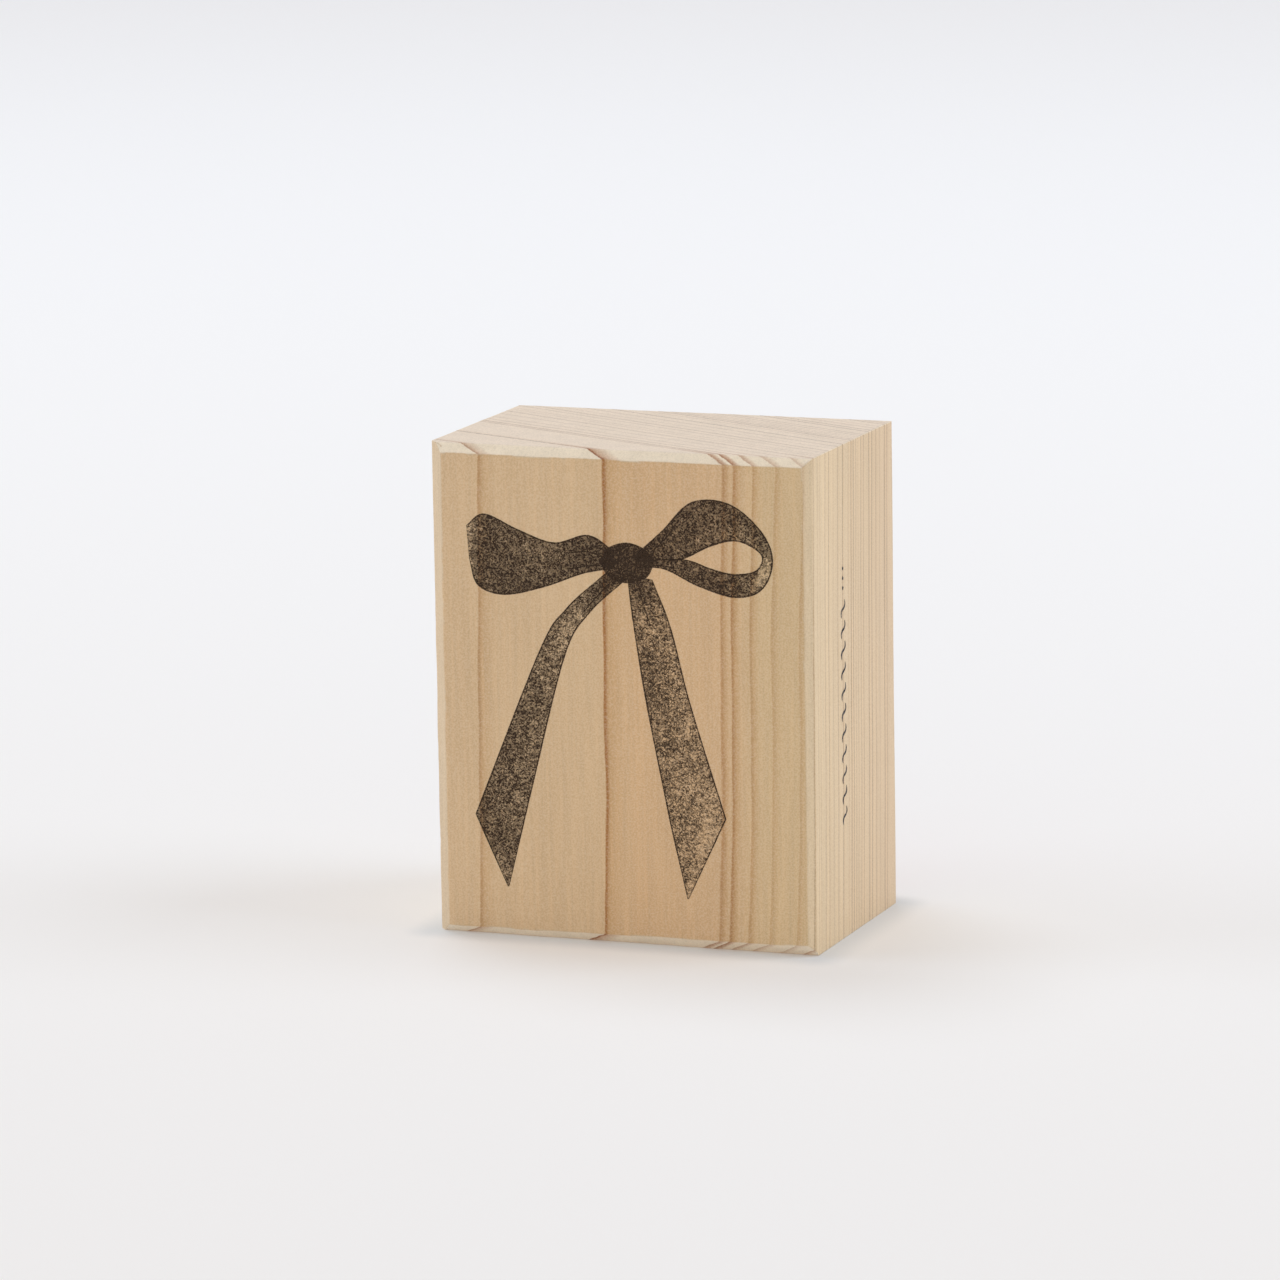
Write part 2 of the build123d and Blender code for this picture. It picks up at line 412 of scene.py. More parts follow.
def woodMaterial():
    # pale softwood, planed and sanded, left bare: silky along the grain, dull and speckled across it
    material, tree = newMaterial("sanded bare softwood")
    here = addNode(tree, "TexCoord").outputs["Object"]
    point = addNode(tree, "VectorMath", {0: here, 1: inMillimetres}, operation="MULTIPLY")
    normal = addNode(tree, "SeparateXYZ", {0: addNode(tree, "NewGeometry").outputs["Normal"]})
    upFace = addNode(tree, "Math", {0: normal.outputs["Z"]}, operation="ABSOLUTE")
    endMask = addNode(tree, "MapRange", {"Value": upFace, "From Min": 0.72, "From Max": 0.97})
    printed = addNode(tree, "Attribute", attribute_name="indexFace").outputs["Fac"]

    # fibres: long streaks at two widths
    across, along = 1 / wood["fibreWidth"], 1 / wood["fibreLength"]
    streak = addNode(tree, "VectorMath", {0: point, 1: (across, across, along)}, operation="MULTIPLY")
    fibres = addNode(tree, "TexNoise", {"Vector": streak, "Scale": 0.5, "Detail": 3.0, "Roughness": 0.6})
    wide = addNode(tree, "VectorMath", {0: point, 1: (0.45, 0.45, 0.035)}, operation="MULTIPLY")
    clouds = addNode(tree, "TexNoise", {"Vector": wide, "Scale": 1.0, "Detail": 2.0, "Roughness": 0.5})
    pores = addNode(tree, "TexNoise", {
        "Vector": point, "Scale": 0.5 / wood["endPore"], "Detail": 2.0, "Roughness": 0.6,
    })

    # rings: red is the dark line, green the orange latewood after it
    wobble = addNode(tree, "VectorMath", {0: point, 1: (1.6, 1.6, 0.12)}, operation="MULTIPLY")
    wobble = addNode(tree, "TexNoise", {"Vector": wobble, "Scale": 1.0, "Detail": 3.0, "Roughness": 0.65})
    place = addNode(tree, "Attribute", attribute_name="ringPlace").outputs["Fac"]
    place = addNode(tree, "Math", {0: wobble, 1: 0.16, 2: place}, operation="MULTIPLY_ADD")
    place = addNode(tree, "Math", {0: place, 1: 0.08}, operation="SUBTRACT")
    total = None
    for first in range(0, len(growthRings), ringsPerRamp):
        stops = [(0.0, (0, 0, 0, 1))]
        inside = growthRings[first:first + ringsPerRamp]
        following = growthRings[first + ringsPerRamp:][:1] or [(inside[-1][0] + 6,)]
        low, high = inside[0][0] - 3 * ringOnset, following[0][0] - 3 * ringOnset
        for n, (ring, dark, orange, fade) in enumerate(inside):
            past = ring - inside[n - 1][0] if n else 1e3
            left = max(0, 1 - past / inside[n - 1][3]) * inside[n - 1][2]
            end = min(ring + fade, (inside + following)[n + 1][0] - 4 * ringOnset)
            kept = orange * max(0, 1 - (end - ring) / fade)
            for at, r, g in (
                (ring - ringOnset, 0, left), (ring, dark, orange),
                (ring + 0.5 * ringLine, 0.8 * dark, orange),
                (ring + ringLine, 0.25 * dark, 0.9 * orange), (ring + 1.8 * ringLine, 0, 0.7 * orange),
                (max(end, ring + 1.9 * ringLine), 0, kept),
            ):
                stops.append(((at - low) / (high - low), (r, g, 0, 1)))
        stops.append((1.0, (0, 0, 0, 1)))
        share = addNode(tree, "MapRange", {"Value": place, "From Min": low, "From Max": high})
        ramp = addNode(tree, "ValToRGB", {"Fac": share}, stops)
        total = addNode(tree, "VectorMath", {0: total, 1: ramp}, operation="ADD") if total else ramp
    rings = addNode(tree, "SeparateXYZ", {0: total})
    line, warm = rings.outputs["X"], rings.outputs["Y"]

    # base tones over the index face and over the bare faces
    tones = []
    for key in ("indexTones", "rawTones"):
        low, high = wood[key][0][0], wood[key][-1][0]
        stops = [((at - low) / (high - low), linearColour(tone)) for at, tone in wood[key]]
        share = addNode(tree, "MapRange", {"Value": place, "From Min": low, "From Max": high})
        tones.append(addNode(tree, "ValToRGB", {"Fac": share}, stops))
    steep = addNode(tree, "MapRange", {"Value": upFace, "From Min": 0.3, "From Max": 0.6})
    sloped = addNode(tree, "Mix", {
        0: steep, 6: tones[1], 7: linearColour(wood["topBevel"]),
    }, data_type="RGBA")
    raw = addNode(tree, "Mix", {
        0: endMask, 6: sloped.outputs[2], 7: linearColour(wood["endGrain"]),
    }, data_type="RGBA")
    base = addNode(tree, "Mix", {0: printed, 6: raw.outputs[2], 7: tones[0]}, data_type="RGBA")

    # thin rings are greyer than the wide orange ones, and every ring is grey where it is cut straight across
    thin = addNode(tree, "MapRange", {"Value": place, "From Min": 8.7, "From Max": 10.2})
    flatEnd = addNode(tree, "MapRange", {"Value": upFace, "From Min": 0.85, "From Max": 0.97})
    behind = addNode(tree, "SeparateXYZ", {0: point}).outputs["Y"]
    near, far = (woodLow.y + v for v in wood["burntReach"])
    burnt = addNode(tree, "MapRange", {
        "Value": behind, "From Min": near, "From Max": far, "To Min": 1.0, "To Max": 0.0,
    })
    burntEnd = addNode(tree, "Math", {0: burnt, 1: steep}, operation="MULTIPLY")
    tints = []
    for wide, narrow, end in (
        ("latewoodWarm", "thinRingWarm", "endRingWarm"), ("latewoodLine", "thinRingLine", "endRingLine"),
    ):
        tint = addNode(tree, "Mix", {
            0: thin, 6: linearColour(wood[wide]), 7: linearColour(wood[narrow]),
        }, data_type="RGBA")
        tint = addNode(tree, "Mix", {
            0: flatEnd, 6: tint.outputs[2], 7: linearColour(wood[end]),
        }, data_type="RGBA")
        tints.append(addNode(tree, "Mix", {
            0: burntEnd, 6: tint.outputs[2], 7: linearColour(wood["burntRing"]),
        }, data_type="RGBA"))
    warmTint, lineTint = tints
    warmTint = addNode(tree, "Mix", {
        0: printed, 6: warmTint.outputs[2], 7: linearColour(wood["indexWarm"]),
    }, data_type="RGBA")
    colour = addNode(tree, "Mix", {0: warm, 6: base.outputs[2], 7: warmTint.outputs[2]},
                     data_type="RGBA", blend_type="MULTIPLY")
    colour = addNode(tree, "Mix", {0: line, 6: colour.outputs[2], 7: lineTint.outputs[2]},
                     data_type="RGBA", blend_type="MULTIPLY")

    # fibre, cloud and pore shading, each a few percent
    longShade = addNode(tree, "MapRange", {
        "Value": fibres, "From Min": 0.3, "From Max": 0.7, "To Min": 0.95, "To Max": 1.045,
    })
    endShade = addNode(tree, "MapRange", {
        "Value": pores, "From Min": 0.3, "From Max": 0.7, "To Min": 0.90, "To Max": 1.06,
    })
    shade = addNode(tree, "Mix", {0: endMask, 2: longShade, 3: endShade})
    cloudShade = addNode(tree, "MapRange", {
        "Value": clouds, "From Min": 0.3, "From Max": 0.7, "To Min": 0.965, "To Max": 1.03,
    })
    shade = addNode(tree, "Math", {0: shade, 1: cloudShade}, operation="MULTIPLY")
    specks = addNode(tree, "TexNoise", {"Vector": point, "Scale": 0.7 / wood["speckle"], "Detail": 1.0})
    # painted shade: random specks darken the colour as if they were hollows between fibre ends
    dark = addNode(tree, "MapRange", {
        "Value": specks, "From Min": 0.28, "From Max": 0.5, "To Min": wood["speckHollowShade"], "To Max": 1.0,
    })
    shade = addNode(tree, "Math", {0: shade, 1: dark}, operation="MULTIPLY")
    pale = addNode(tree, "MapRange", {
        "Value": specks, "From Min": 0.45, "From Max": 0.72, "To Max": wood["paleSpecks"],
    })
    colour = addNode(tree, "VectorMath", {0: colour.outputs[2], "Scale": shade}, operation="SCALE")
    colour = addNode(tree, "Mix", {
        0: pale, 6: colour, 7: linearColour(wood["paleFibre"]),
    }, data_type="RGBA").outputs[2]

    height = addNode(tree, "Mix", {0: endMask, 2: fibres, 3: pores})
    height = addNode(tree, "Math", {0: line, 1: 0.6, 2: height}, operation="MULTIPLY_ADD")
    bump = addNode(tree, "Bump", {"Strength": 0.35, "Distance": 0.00004, "Height": height})
    rough = addNode(tree, "MapRange", {
        "Value": fibres, "To Min": wood["roughness"] - 0.08, "To Max": wood["roughness"] + 0.10,
    })
    rough = addNode(tree, "Math", {0: line, 1: -0.12, 2: rough}, operation="MULTIPLY_ADD")
    shader = addNode(tree, "BsdfPrincipled", {
        "Base Color": colour, "Roughness": rough, "Normal": bump, "IOR": 1.46, "Specular IOR Level": 0.35,
    })
    addNode(tree, "OutputMaterial", {"Surface": shader})
    return material


woodBlock = makeWoodBlock(woodMaterial())
print("wooden block made:", len(woodBlock.data.polygons), "faces")

# artwork, shared by the print and the die
artwork = {"sideMargin": 0.9, "endMargin": 1.6}  # mm of plain rubber left round the bow
dieLow, dieHigh = (Vector(v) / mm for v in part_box("rubber_die"))
artHalf = (
    (dieHigh.x - dieLow.x) / 2 - artwork["sideMargin"],
    (dieHigh.z - dieLow.z) / 2 - artwork["endMargin"],
)
artMiddle = ((dieLow.x + dieHigh.x) / 2, (dieLow.z + dieHigh.z) / 2)

# Each ribbon runs between two edges, in shares of the artwork's half width and half height.
# Its shades are spots of more or less ink: along 0 to 1, across 0 to 1, spread along, spread across, amount.
ribbons = {
    "leftTail": {
        "edges": (
            [(0.06, 0.60), (-0.19, 0.42), (-0.36, 0.19), (-0.61, -0.54)],
            [(-0.07, 0.625), (-0.34, 0.43), (-0.52, 0.21), (-0.955, -0.615)],
        ),
        "tip": (-0.75, -0.975),
        "ink": 0.60,
        "shades": [
            (0.05, 0.5, 0.10, 0.9, 0.28), (0.40, 0.2, 0.15, 0.4, -0.20),
            (0.75, 0.7, 0.20, 0.4, 0.10),
        ],
    },
    "rightTail": {
        "edges": (
            [(0.22, 0.60), (0.335, 0.36), (0.45, 0.0), (0.67, -0.56)],
            [(0.06, 0.62), (0.10, 0.36), (0.17, 0.0), (0.31, -0.58)],
        ),
        "tip": (0.42, -0.975),
        "ink": 0.46,
        "shades": [
            (0.05, 0.5, 0.10, 0.9, 0.34), (0.45, 0.8, 0.15, 0.4, 0.14),
            (0.80, 0.2, 0.20, 0.4, -0.14),
        ],
    },
    "closedLoop": {
        "edges": (
            [(-0.02, 0.73), (-0.19, 0.80), (-0.41, 0.755), (-0.64, 0.81), (-0.86, 0.88), (-0.98, 0.82)],
            [(-0.02, 0.645), (-0.22, 0.615), (-0.49, 0.535), (-0.74, 0.49), (-0.91, 0.53), (-0.965, 0.66)],
        ),
        "ink": 0.80,
        "shades": [
            (0.05, 0.5, 0.10, 0.9, 0.16), (0.50, 0.3, 0.15, 0.3, -0.14),
            (0.97, 0.5, 0.12, 1.0, -0.40),
        ],
    },
    "openLoop": {
        "edges": (
            [(0.12, 0.72), (0.29, 0.84), (0.48, 0.985), (0.72, 0.985), (0.92, 0.86), (0.99, 0.72),
             (0.92, 0.58), (0.75, 0.535), (0.52, 0.58), (0.30, 0.655), (0.12, 0.655)],
            [(0.12, 0.69), (0.29, 0.70), (0.42, 0.71), (0.60, 0.78), (0.77, 0.81), (0.92, 0.75),
             (0.89, 0.67), (0.75, 0.645), (0.60, 0.665), (0.42, 0.705), (0.12, 0.685)],
        ),
        "ink": 0.76,
        "shades": [
            (0.03, 0.5, 0.06, 0.9, 0.20), (0.35, 0.7, 0.10, 0.3, -0.20),
            (0.56, 0.5, 0.08, 1.0, -0.46),
        ],
    },
    "knot": {
        "edges": (
            [(-0.11, 0.685), (-0.06, 0.745), (0.06, 0.775), (0.18, 0.745), (0.23, 0.685)],
            [(-0.11, 0.665), (-0.06, 0.605), (0.06, 0.575), (0.18, 0.605), (0.23, 0.665)],
        ),
        "ink": 1.0,
        "shades": [],
    },
}

# Plain pleats fanning out of the knot: points in the same shares, width in mm
foldLines = [
    ([(0.02, 0.74), (0.0, 0.675), (0.02, 0.61)], 0.12),
    ([(0.10, 0.74), (0.12, 0.675), (0.10, 0.61)], 0.12),
    ([(-0.10, 0.705), (-0.20, 0.72), (-0.32, 0.71)], 0.11),
    ([(-0.10, 0.66), (-0.20, 0.65), (-0.32, 0.63)], 0.11),
    ([(0.21, 0.73), (0.28, 0.78), (0.36, 0.85)], 0.11),
    ([(0.22, 0.67), (0.30, 0.67), (0.38, 0.66)], 0.11),
    ([(0.13, 0.58), (0.16, 0.48), (0.20, 0.38)], 0.12),
    ([(-0.03, 0.59), (-0.14, 0.50), (-0.24, 0.41)], 0.12),
]
edgeLine = 0.14  # mm, the pen line along each ribbon's edge


def onArt(share):
    return Vector((artMiddle[0] + share[0] * artHalf[0], artMiddle[1] + share[1] * artHalf[1]))


# a smooth line through the points, sampled evenly between them
def smoothLine(points, perGap):
    ends = [points[0] * 2 - points[1], *points, points[-1] * 2 - points[-2]]
    line = []
    for n in range(len(points) - 1):
        a, b, c, d = ends[n:n + 4]
        for step in range(perGap):
            t = step / perGap
            line.append(0.5 * (2 * b + (c - a) * t + (2 * a - 5 * b + 4 * c - d) * t ** 2
                               + (3 * b - a - 3 * c + d) * t ** 3))
    return line + [points[-1]]


def lineStrip(line, width, widen=1.0):
    # a pen line as a thin strip, tapered at both ends, with a slight tremor
    left, right = [], []
    for n, here in enumerate(line):
        ahead = (line[min(n + 1, len(line) - 1)] - line[max(n - 1, 0)]).normalized()
        aside = Vector((-ahead.y, ahead.x))
        share = n / (len(line) - 1)
        taper = min(1, 0.35 + 4 * share, 0.35 + 4 * (1 - share))
        half = width * widen / 2 * taper * (1 + 0.25 * noise.noise(Vector((here.x * 1.3, here.y * 1.3, 7))))
        left.append(here + aside * half)
        right.append(here - aside * half)
    return {"left": left, "right": right, "cells": 1, "ink": lambda u, v: 0.97}


def artStrips(widen=1.0):
    strips = []
    for layer, (name, ribbon) in enumerate(ribbons.items()):
        sides = [smoothLine([onArt(p) for p in edge], 12) for edge in ribbon["edges"]]
        if "tip" in ribbon:
            tip = onArt(ribbon["tip"])
            sides = [side + [side[-1].lerp(tip, n / 12 * 0.985) for n in range(1, 13)] for side in sides]

        def inkAt(u, v, ribbon=ribbon):
            ink = ribbon["ink"]
            for along, over, spreadAlong, spreadOver, amount in ribbon["shades"]:
                ink += amount * math.exp(-((u - along) / spreadAlong) ** 2 - ((v - over) / spreadOver) ** 2)
            return min(1.0, max(0.03, ink))

        strips.append({"left": sides[0], "right": sides[1], "cells": 10, "ink": inkAt, "layer": layer})
        if name != "knot":
            for side in sides:
                strips.append({**lineStrip(side, edgeLine, widen), "layer": layer + 0.5})
    for points, width in foldLines:
        line = smoothLine([onArt(p) for p in points], 10)
        strips.append({**lineStrip(line, width, widen), "layer": len(ribbons) + 0.5})
    return strips


# strips to a mesh; stand(flat point, lift) puts a point in space, and faces look outward
def stripMesh(strips, stand, outward, lift=0.0, layerLift=0.0):
    points, faces, inks = [], [], []
    for strip in strips:
        start, cells, rows = len(points), strip["cells"], len(strip["left"])
        height = lift + layerLift * strip.get("layer", 0)
        for n, (a, b) in enumerate(zip(strip["left"], strip["right"])):
            for m in range(cells + 1):
                points.append(Vector(stand(a.lerp(b, m / cells), height)))
                inks.append(strip["ink"](n / (rows - 1), m / cells))
        for n in range(rows - 1):
            for m in range(cells):
                one = start + n * (cells + 1) + m
                loop = [one, one + 1, one + cells + 2, one + cells + 1]
                p, q, r = (points[k] for k in loop[:3])
                faces.append(loop if (q - p).cross(r - p).dot(outward) > 0 else loop[::-1])
    return points, faces, inks


printFilm = {"lift": 0.014, "layerLift": 0.0025}  # mm, the ink films' heights above the wood
ink = {
    "brown": "#32251c",
    "brownLight": "#493829",
    "blueBlack": "#262c38",
    "blueBlackLight": "#434956",
    "grain": 0.12,  # mm, the stipple's dots
    "clump": 0.7,  # mm, patches where the stipple gathers
    "edge": 0.55,  # how softly a dot fades into bare wood
    "mostCover": 0.96,
    "roughness": 0.75,
}


def inkMaterial(name, dark, light):
    # pigment ink stamped on bare wood: matt, soaked in a little, broken into grains where it is thin
    material, tree = newMaterial(name)
    here = addNode(tree, "TexCoord").outputs["Object"]
    point = addNode(tree, "VectorMath", {0: here, 1: inMillimetres}, operation="MULTIPLY")
    bend = addNode(tree, "TexNoise", {"Vector": point, "Scale": 1.2 / ink["grain"], "Detail": 2.0})
    bent = addNode(tree, "VectorMath", {
        0: bend.outputs["Color"], "Scale": ink["grain"] * 0.5,
    }, operation="SCALE")
    bent = addNode(tree, "VectorMath", {0: point, 1: bent}, operation="ADD")
    cells = addNode(tree, "TexVoronoi", {"Vector": bent, "Scale": 1 / ink["grain"]})
    chance = addNode(tree, "SeparateXYZ", {0: cells.outputs["Color"]}).outputs["X"]
    clumps = addNode(tree, "TexNoise", {"Vector": point, "Scale": 1 / ink["clump"], "Detail": 2.0})
    tone = addNode(tree, "Attribute", attribute_name="inkTone").outputs["Fac"]
    spare = addNode(tree, "Math", {0: 1.0, 1: tone}, operation="SUBTRACT")
    spare = addNode(tree, "Math", {0: spare, 1: tone}, operation="MULTIPLY")
    swing = addNode(tree, "MapRange", {
        "Value": clumps, "From Min": 0.3, "From Max": 0.7, "To Min": -0.6, "To Max": 0.6,
    })
    tone = addNode(tree, "Math", {0: spare, 1: swing, 2: tone}, operation="MULTIPLY_ADD")
    gap = addNode(tree, "Math", {0: tone, 1: chance}, operation="SUBTRACT")
    cover = addNode(tree, "MapRange", {
        "Value": gap, "From Min": -ink["edge"], "From Max": ink["edge"], "To Min": 0.0,
        "To Max": ink["mostCover"],
    })
    thinning = addNode(tree, "MapRange", {"Value": tone, "From Max": 0.42})
    cover = addNode(tree, "Math", {0: cover, 1: thinning}, operation="MULTIPLY")
    grain = addNode(tree, "TexNoise", {"Vector": point, "Scale": 2.2, "Detail": 3.0, "Roughness": 0.6})
    colour = addNode(tree, "Mix", {0: grain, 6: linearColour(dark), 7: linearColour(light)}, data_type="RGBA")
    bump = addNode(tree, "Bump", {"Strength": 0.3, "Distance": 0.00001, "Height": cover})
    rough = addNode(tree, "MapRange", {
        "Value": grain, "To Min": ink["roughness"] - 0.05, "To Max": ink["roughness"] + 0.15,
    })
    shader = addNode(tree, "BsdfPrincipled", {
        "Base Color": colour.outputs[2], "Alpha": cover, "Roughness": rough, "Normal": bump, "IOR": 1.5,
        "Specular IOR Level": 0.2,
    })
    addNode(tree, "OutputMaterial", {"Surface": shader})
    return material


woodSurface = BVHTree.FromPolygons(
    [v.co / mm for v in woodBlock.data.vertices], [tuple(p.vertices) for p in woodBlock.data.polygons]
)


def onWood(start, heading, height):
    # a film follows every rise of the wood under it
    hit = woodSurface.ray_cast(Vector(start), Vector(heading))[0]
    return (hit - Vector(heading) * height) * mm


def makeIndexPrint():
    def stand(flat, height):
        return onWood((flat.x, woodLow.y - 1, flat.y), (0, 1, 0), height)

    points, faces, inks = stripMesh(
        artStrips(), stand, Vector((0, -1, 0)), printFilm["lift"], printFilm["layerLift"]
    )
    material = inkMaterial("stamped brown pigment ink", ink["brown"], ink["brownLight"])
    piece = newPiece("indexPrint", points, faces, material, {"inkTone": inks})
    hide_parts("index_print")
    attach(piece, "mount")
    return piece


indexPrint = makeIndexPrint()
print("index print made:", len(indexPrint.data.polygons), "faces")

# mark on the right side: a row of slanted strokes like a twisted cord, and three dots
mark = {
    "fromFront": 9.5,  # mm from the index face to the row's middle
    "fromBase": 12.5,
    "strokes": 11,
    "pitch": 2.1,
    "length": 2.0,
    "width": 0.3,
    "tilt": 62,  # degrees from level
    "sway": 0.32,  # mm, the stroke's bend
    "dots": 3,
    "dotPitch": 1.0,
    "dotRadius": 0.2,
    "lift": 0.02,
}


def makeSideMark():
    middle = Vector((woodLow.y + mark["fromFront"], mark["fromBase"]))
    tilt = math.radians(mark["tilt"])
    ahead = Vector((math.cos(tilt), math.sin(tilt)))
    aside = Vector((-ahead.y, ahead.x))
    strips = []
    for n in range(mark["strokes"]):
        centre = middle + Vector((0, n * mark["pitch"]))
        stroke = [
            centre + ahead * mark["length"] * t + aside * mark["sway"] * math.sin(-2 * math.pi * t)
            for t in (-0.5, -0.3, -0.1, 0.1, 0.3, 0.5)
        ]
        strips.append(lineStrip(smoothLine(stroke, 5), mark["width"]))
    for n in range(mark["dots"]):
        centre = middle + Vector((0, mark["strokes"] * mark["pitch"] + n * mark["dotPitch"]))
        turns = [math.pi * (k + 0.15) / 8.3 for k in range(9)]
        sides = [
            [centre + Vector((side * math.sin(t), -math.cos(t))) * mark["dotRadius"] for t in turns]
            for side in (-1, 1)
        ]
        strips.append({"left": sides[0], "right": sides[1], "cells": 2, "ink": lambda u, v: 0.97})

    def stand(flat, height):
        return onWood((woodHigh.x + 1, flat.x, flat.y), (-1, 0, 0), height)

    points, faces, inks = stripMesh(strips, stand, Vector((1, 0, 0)), mark["lift"])
    material = inkMaterial("stamped blue-black pigment ink", ink["blueBlack"], ink["blueBlackLight"])
    piece = newPiece("sideMark", points, faces, material, {"inkTone": inks})
    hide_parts("side_mark")
    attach(piece, "mount")
    return piece


sideMark = makeSideMark()
print("side mark made:", len(sideMark.data.polygons), "faces")

# the sandwich behind the block: adhesive, foam, adhesive, rubber


def sheetLoop(width, height, corner, spacing):
    # (point, outward direction) round a rectangle with rounded corners
    loop = []
    for turn, (sx, sz) in enumerate(((1, 1), (-1, 1), (-1, -1), (1, -1))):
        centre = Vector((sx * (width / 2 - corner), sz * (height / 2 - corner)))
        for k in range(7):
            angle = math.pi / 2 * (turn + k / 6)
            away = Vector((math.cos(angle), math.sin(angle)))
            loop.append((centre + away * corner, away))
        last, away = loop[-1]
        length = (height if turn % 2 else width) - 2 * corner
        count = round(length / spacing)
        along = Vector((-away.y, away.x))
        for k in range(1, count):
            loop.append((last + along * length * k / count, away))
    return loop


# levels are (place along y, inset) in mm; the edge strays by rough mm over grain mm
def sheetMesh(loop, levels, rough, grain):
    points, faces, count = [], [], len(loop)
    for y, inset in levels:
        for point, away in loop:
            stray = noise.noise(Vector((point.x, y, point.y)) / grain) * rough
            place = point + away * (stray - inset)
            points.append((artMiddle[0] + place.x, y, artMiddle[1] + place.y))
    for level in range(len(levels) - 1):
        for n in range(count):
            m = (n + 1) % count
            a, b = level * count + n, level * count + m
            faces.append((a, a + count, b + count, b))
    faces.append(tuple(range(count)))
    faces.append(tuple(reversed(range(len(points) - count, len(points)))))
    return points, faces


def finishSheet(name, points, faces, material, node, body, marks=None):
    piece = newPiece(name, [Vector(p) * mm for p in points], faces, material, marks)
    piece.data.set_sharp_from_angle(angle=math.radians(42))
    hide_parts(node)
    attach(piece, body)
    return piece


film = {"strayDepth": 0.09, "strayLength": 1.6, "colour": "#e4e0d2", "bubble": 0.5, "roughness": 0.22}


def filmMaterial():
    # acrylic adhesive on clear film, slit from a roll: glossy, faintly milky, with trapped air showing paler
    material, tree = newMaterial("slit acrylic adhesive film")
    here = addNode(tree, "TexCoord").outputs["Object"]
    point = addNode(tree, "VectorMath", {0: here, 1: inMillimetres}, operation="MULTIPLY")
    bubbles = addNode(tree, "TexVoronoi", {"Vector": point, "Scale": 1 / film["bubble"]})
    pale = addNode(tree, "MapRange", {
        "Value": bubbles.outputs["Distance"], "From Min": 0.05, "From Max": 0.35,
        "To Min": 1.12, "To Max": 0.96,
    })
    colour = addNode(tree, "VectorMath", {
        0: linearColour(film["colour"])[:3], "Scale": pale,
    }, operation="SCALE")
    rough = addNode(tree, "MapRange", {
        "Value": bubbles.outputs["Distance"], "To Min": film["roughness"] + 0.2, "To Max": film["roughness"],
    })
    bump = addNode(tree, "Bump", {
        "Strength": 0.2, "Distance": 0.00002, "Height": bubbles.outputs["Distance"],
    })
    shader = addNode(tree, "BsdfPrincipled", {
        "Base Color": colour, "Roughness": rough, "Normal": bump, "IOR": 1.47,
    })
    addNode(tree, "OutputMaterial", {"Surface": shader})
    return material


filmFinish = filmMaterial()
for name, node, body, corner in (
    ("mountFilm", "mount_adhesive", "mount", 1.6), ("dieFilm", "die_adhesive", "die", 1.2),
):
    low, high = (Vector(v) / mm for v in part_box(node))
    loop = sheetLoop(high.x - low.x, high.z - low.z, corner, 0.6)
    levels = [(low.y, 0.0), ((low.y + high.y) / 2, 0.03), (high.y, 0.0)]
    points, faces = sheetMesh(loop, levels, film["strayDepth"], film["strayLength"])
    finishSheet(name, points, faces, filmFinish, node, body)
print("adhesive films made")

foam = {
    "corner": 1.6,
    "pulledIn": 0.16,  # mm that the cut sides draw in halfway through
    "cell": 0.28,  # mm, the closed cells, drawn a little coarse so that they show
    "cellDepth": 0.07,
    "colour": "#9e9e9b",
    # the pits' darker colour, painted shade inside the opened cells
    "deep": "#76767a",
    "roughness": 0.85,
}


def foamMaterial():
    # closed-cell polyethylene foam, knife-cut: dull, with opened cells as fine pits on the cut, darkened with
    # painted shade
    material, tree = newMaterial("cut closed-cell foam")
    here = addNode(tree, "TexCoord").outputs["Object"]
    point = addNode(tree, "VectorMath", {0: here, 1: inMillimetres}, operation="MULTIPLY")
    cells = addNode(tree, "TexVoronoi", {"Vector": point, "Scale": 1 / foam["cell"]})
    walls = addNode(tree, "TexVoronoi", {
        "Vector": point, "Scale": 1 / foam["cell"],
    }, feature="DISTANCE_TO_EDGE")
    # painted shade: this pit mask darkens the colour towards the deeper grey
    shadedPit = addNode(tree, "MapRange", {"Value": walls, "From Min": 0.02, "From Max": 0.22})
    chance = addNode(tree, "SeparateXYZ", {0: cells.outputs["Color"]})
    shadedPit = addNode(tree, "Math", {0: shadedPit, 1: chance}, operation="MULTIPLY")
    colour = addNode(tree, "Mix", {
        0: shadedPit, 6: linearColour(foam["colour"]), 7: linearColour(foam["deep"]),
    }, data_type="RGBA")
    drift = addNode(tree, "TexNoise", {"Vector": point, "Scale": 0.25, "Detail": 2.0})
    drift = addNode(tree, "MapRange", {"Value": drift, "To Min": 0.92, "To Max": 1.08})
    colour = addNode(tree, "VectorMath", {0: colour.outputs[2], "Scale": drift}, operation="SCALE")
    height = addNode(tree, "Math", {0: 1.0, 1: shadedPit}, operation="SUBTRACT")
    bump = addNode(tree, "Bump", {"Strength": 0.7, "Distance": 0.00006, "Height": height})
    rough = addNode(tree, "MapRange", {
        "Value": shadedPit, "To Min": foam["roughness"] - 0.1, "To Max": foam["roughness"] + 0.1,
    })
    shader = addNode(tree, "BsdfPrincipled", {
        "Base Color": colour, "Roughness": rough, "Normal": bump, "IOR": 1.49,
    })
    addNode(tree, "OutputMaterial", {"Surface": shader})
    return material


def makeCushion():
    low, high = (Vector(v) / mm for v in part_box("cushion"))
    loop = sheetLoop(high.x - low.x, high.z - low.z, foam["corner"], 0.3)
    thickness = high.y - low.y
    levels = [(low.y, 0.09), (low.y + 0.04 * thickness, 0.02)]
    for step in range(1, 10):
        share = step / 10
        levels.append((low.y + share * thickness, foam["pulledIn"] * math.sin(math.pi * share)))
    levels += [(high.y - 0.04 * thickness, 0.02), (high.y, 0.09)]
    points, faces = sheetMesh(loop, levels, foam["cellDepth"], foam["cell"])
    piece = finishSheet("foamCushion", points, faces, foamMaterial(), "cushion", "mount")
    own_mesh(piece)
    return piece


